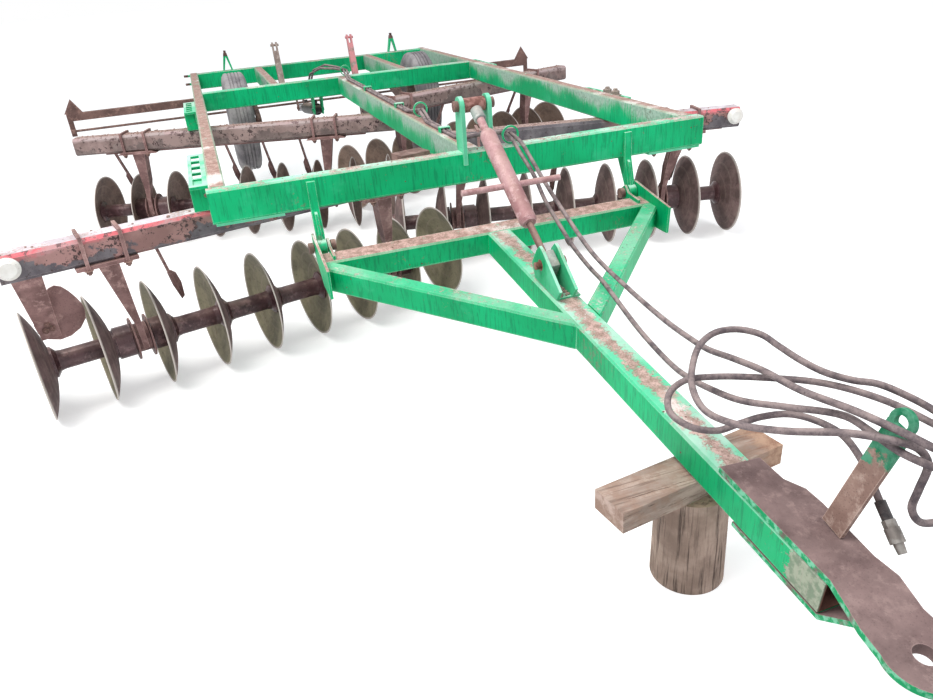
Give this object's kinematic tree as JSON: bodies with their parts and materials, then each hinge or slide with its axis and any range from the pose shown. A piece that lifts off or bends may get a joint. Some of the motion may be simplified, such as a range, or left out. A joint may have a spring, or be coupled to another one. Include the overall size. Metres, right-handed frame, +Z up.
{
  "type": "disc harrow",
  "caption": "Tandem disc harrow with an open tube frame, four angled gangs of dished discs, transport wheels and a drawbar with levelling screw, parked on a timber and a stump",
  "frame": {"origin": "on the ground under the middle of the overall box, hoses left out", "axes": "X across the machine to its right seen from the front, -Y towards the hitch, Z up"},
  "size_m": [5.12, 8.1705, 1.329],
  "materials": {
    "cast_spool": "rusty cast iron",
    "chrome_rod": "dull chrome",
    "coupler": "worn steel",
    "dark_paint": "oily dark paint with dirt",
    "disc_steel": "rusty blade with a worn bright rim",
    "green_paint": "faded green paint, dusty on top, pale worn edges",
    "hose": "dusty black hose",
    "pink_rust": "sun-faded red paint gone to pink rust",
    "red_rusty_beam": "rust with remains of red paint and dark grey patches",
    "rusty_steel": "rough brown rust",
    "stump": "cut log with bark",
    "timber": "weathered sawn timber",
    "tyre": "dusty grey rubber",
    "wheel_rim": "dusty faded paint",
    "white_plastic": "chalky white"
  },
  "bodies": {
    "frame": {"crossbars": "green_paint", "side_rails": "green_paint", "centre_tubes": "green_paint", "mast": "green_paint", "mast_pin": "rusty_steel", "hinge_brackets": "green_paint", "hinge_pins": "rusty_steel", "front_beams": "red_rusty_beam", "rear_beams": "red_rusty_beam", "hangers": "green_paint", "mount_plates": "green_paint", "front_standards": "rusty_steel", "rear_standards": "rusty_steel", "scraper_bars": "rusty_steel", "scraper_arms": "rusty_steel", "end_lamps": "white_plastic", "furrow_blade": "rusty_steel", "drag_bar": "rusty_steel", "rear_brackets": "green_paint", "hose_rings": "green_paint", "hose_lines": "hose", "shaft_blocks": "green_paint", "hose_a": "hose", "hose_b": "hose", "hose_a_end": "coupler", "hose_b_end": "coupler"},
    "gang_front_left": {"discs_fl": "disc_steel", "spools_fl": "cast_spool"},
    "gang_front_right": {"discs_fr": "disc_steel", "spools_fr": "cast_spool"},
    "gang_rear_left": {"discs_rl": "disc_steel", "spools_rl": "cast_spool"},
    "gang_rear_right": {"discs_rr": "disc_steel", "spools_rr": "cast_spool"},
    "rockshaft": {"rockshaft": "rusty_steel", "tall_arms": "rusty_steel", "wheel_arms": "rusty_steel"},
    "wheel_left": {"tyre_left": "tyre", "rim_left": "wheel_rim"},
    "wheel_right": {"tyre_right": "tyre", "rim_right": "wheel_rim"},
    "lift_barrel": {"cylinder_barrel": "dark_paint"},
    "lift_rod": {"cylinder_rod": "chrome_rod"},
    "drawbar": {"cross_tube": "green_paint", "tongue": "green_paint", "braces": "green_paint", "hitch_plate": "rusty_steel", "screw_clevis": "green_paint", "hose_stand": "rusty_steel", "stand_timber": "timber", "stand_stump": "stump"},
    "screw_upper": {"screw_barrel": "pink_rust"},
    "screw_lower": {"screw_rod": "rusty_steel"}
  },
  "joints": [
    {"name": "front_left_turn", "type": "hinge", "parent": "frame", "child": "gang_front_left", "pos_m": [-1.32359, -0.73639, 0.28], "axis": [0.9703, 0.2419, 0], "continuous": true},
    {"name": "front_right_turn", "type": "hinge", "parent": "frame", "child": "gang_front_right", "pos_m": [1.32359, -0.07939, 0.28], "axis": [0.9703, -0.2419, 0], "continuous": true},
    {"name": "rear_left_turn", "type": "hinge", "parent": "frame", "child": "gang_rear_left", "pos_m": [-1.21065, 1.64767, 0.28], "axis": [0.9511, -0.309, 0], "continuous": true},
    {"name": "rear_right_turn", "type": "hinge", "parent": "frame", "child": "gang_rear_right", "pos_m": [1.21065, 2.23767, 0.28], "axis": [0.9511, 0.309, 0], "continuous": true},
    {"name": "wheel_lift", "type": "hinge", "parent": "frame", "child": "rockshaft", "pos_m": [0, 3.6247, 0.84], "axis": [1, 0, 0], "range_deg": [0, 32]},
    {"name": "wheel_left_spin", "type": "hinge", "parent": "rockshaft", "child": "wheel_left", "pos_m": [-0.895, 2.9843, 0.68033], "axis": [1, 0, 0], "continuous": true},
    {"name": "wheel_right_spin", "type": "hinge", "parent": "rockshaft", "child": "wheel_right", "pos_m": [0.895, 2.9843, 0.68033], "axis": [1, 0, 0], "continuous": true},
    {"name": "cylinder_tilt", "type": "hinge", "parent": "frame", "child": "lift_barrel", "pos_m": [-0.24, 2.3457, 0.805], "axis": [1, 0, 0], "range_deg": [0, 0.535]},
    {"name": "cylinder_slide", "type": "slide", "parent": "lift_barrel", "child": "lift_rod", "axis": [0, 0.9927, -0.1202], "range_m": [0, 0.10739]},
    {"name": "drawbar_pitch", "type": "hinge", "parent": "frame", "child": "drawbar", "pos_m": [0, -1.3203, 0.745], "axis": [1, 0, 0], "range_deg": [-4, 4], "deforming": ["hose_a", "hose_b"]},
    {"name": "screw_tilt", "type": "hinge", "parent": "frame", "child": "screw_upper", "pos_m": [0, -1.2553, 1.285], "axis": [1, 0, 0], "range_deg": [-2.63, 2.63]},
    {"name": "screw_slide", "type": "slide", "parent": "screw_upper", "child": "screw_lower", "axis": [0, -0.8374, -0.5466], "range_m": [-0.03016, 0.03016]}
  ],
  "couplings": [
    {"joint": "cylinder_tilt", "follows": "wheel_lift", "ratio": 0.015631},
    {"joint": "cylinder_slide", "follows": "wheel_lift", "m_per_rad": 0.1895},
    {"joint": "screw_tilt", "follows": "drawbar_pitch", "ratio": 0.64311},
    {"joint": "screw_slide", "follows": "drawbar_pitch", "m_per_rad": 0.41653}
  ]
}
